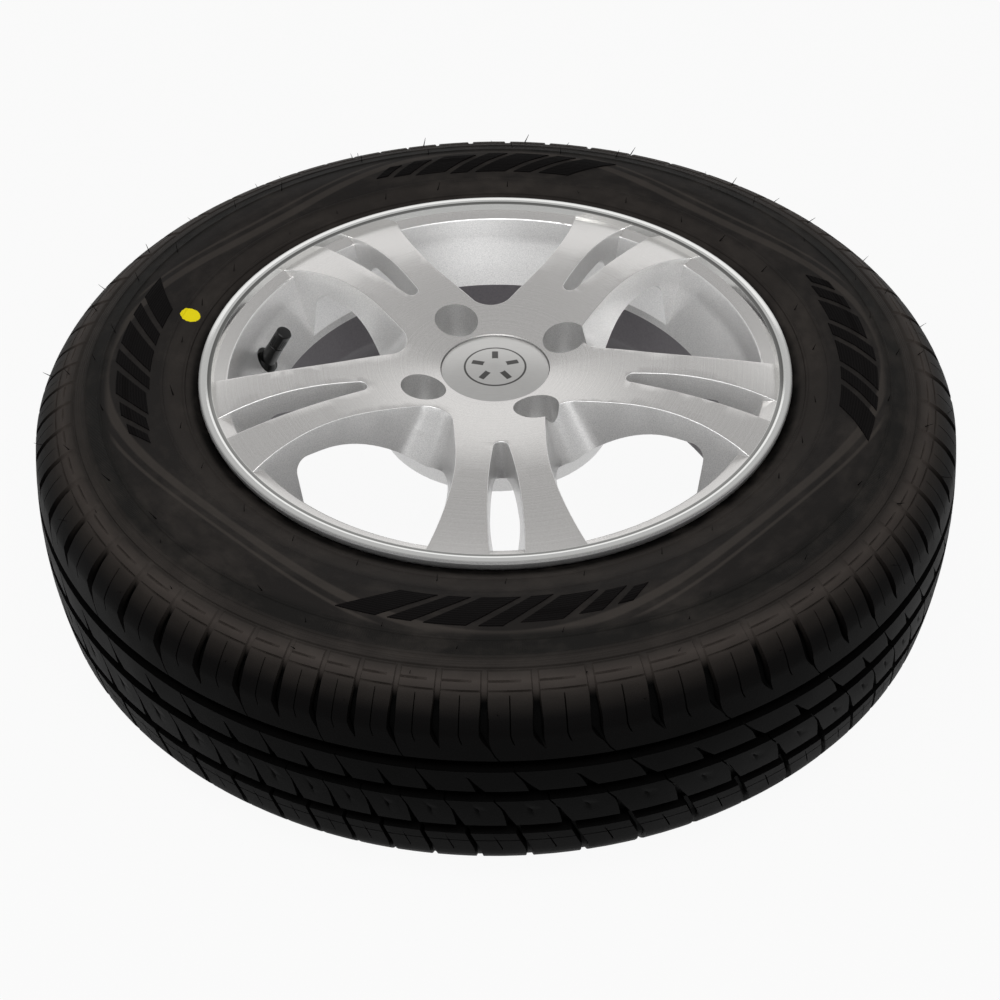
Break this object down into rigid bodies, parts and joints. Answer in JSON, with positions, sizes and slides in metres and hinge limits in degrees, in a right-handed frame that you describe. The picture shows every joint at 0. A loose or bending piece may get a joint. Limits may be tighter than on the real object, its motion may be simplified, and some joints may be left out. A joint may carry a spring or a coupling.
{
  "type": "wheel and tyre assembly",
  "caption": "Road wheel for a small car or caravan: radial tyre with grooved tread on a cast alloy wheel with paired spokes, centre cap and snap-in tyre valve.",
  "frame": {"origin": "on the wheel's axis at the rim's mid-plane, midway between the flanges", "axes": "+Z along the wheel's axis out of its outboard face, up as the wheel lies flat; +X to the right and -Y towards the viewer of the picture"},
  "size_m": [0.574, 0.574, 0.1571],
  "materials": {
    "tyre_rubber": "matt black moulded rubber",
    "cast_alloy": "silver paint with machined spoke faces and polished lip",
    "cap_plastic": "silver with a brushed face",
    "spring_steel": "bright wire",
    "valve_rubber": "black moulded rubber",
    "stem_brass": "turned",
    "core_brass": "turned",
    "core_seal": "matt",
    "cap_black": "black, slightly glossy"
  },
  "bodies": {
    "wheel": {"tyre": "tyre_rubber", "alloy_wheel": "cast_alloy", "centre_cap": "cap_plastic", "cap_spring_ring": "spring_steel", "valve_body": "valve_rubber", "valve_stem": "stem_brass", "valve_core_plug": "core_brass", "valve_core_barrel": "core_brass", "valve_core_seal": "core_seal", "valve_core_spring": "spring_steel"},
    "pin": {"valve_core_pin": "core_brass", "valve_core_cup": "core_brass", "valve_core_washer": "core_seal"},
    "cap": {"valve_cap": "cap_black", "valve_cap_seal": "core_seal"}
  },
  "joints": [
    {"name": "valve_pin_push", "type": "slide", "parent": "wheel", "child": "pin", "axis": [-0.4672, 0.1296, -0.8746], "range_m": [0, 0.0015], "stiffness_N_per_m": 600, "springref_m": -0.002, "deforming": ["valve_core_spring"]},
    {"name": "valve_cap_off", "type": "slide", "parent": "wheel", "child": "cap", "axis": [0.4672, -0.1296, 0.8746], "range_m": [0, 0.02]}
  ]
}
